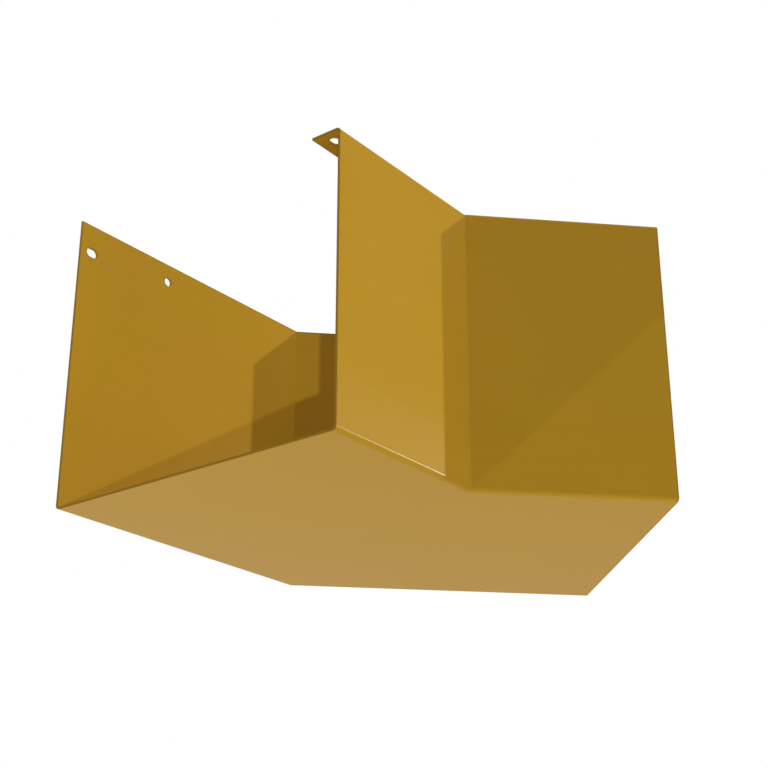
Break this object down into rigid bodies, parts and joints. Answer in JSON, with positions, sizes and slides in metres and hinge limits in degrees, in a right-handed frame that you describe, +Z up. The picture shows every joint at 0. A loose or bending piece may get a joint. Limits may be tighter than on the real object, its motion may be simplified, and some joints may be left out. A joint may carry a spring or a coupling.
{
  "type": "gutter inside miter",
  "caption": "Inside corner of a box gutter: an open trough of folded sheet turning at an obtuse miter, with a tall back wall, a lower front wall with a return flange, and screw slots.",
  "frame": {"origin": "on the underside, in the middle of the piece's own box", "axes": "+X across the miter from the left leg to the right leg, +Y from the front wall to the back wall, +Z up out of the trough"},
  "size_m": [0.2816, 0.201, 0.1403],
  "materials": {
    "painted_sheet": "gloss ochre paint on aluminium sheet"
  },
  "bodies": {
    "root": {"gutter_inside_miter": "painted_sheet"}
  },
  "joints": []
}
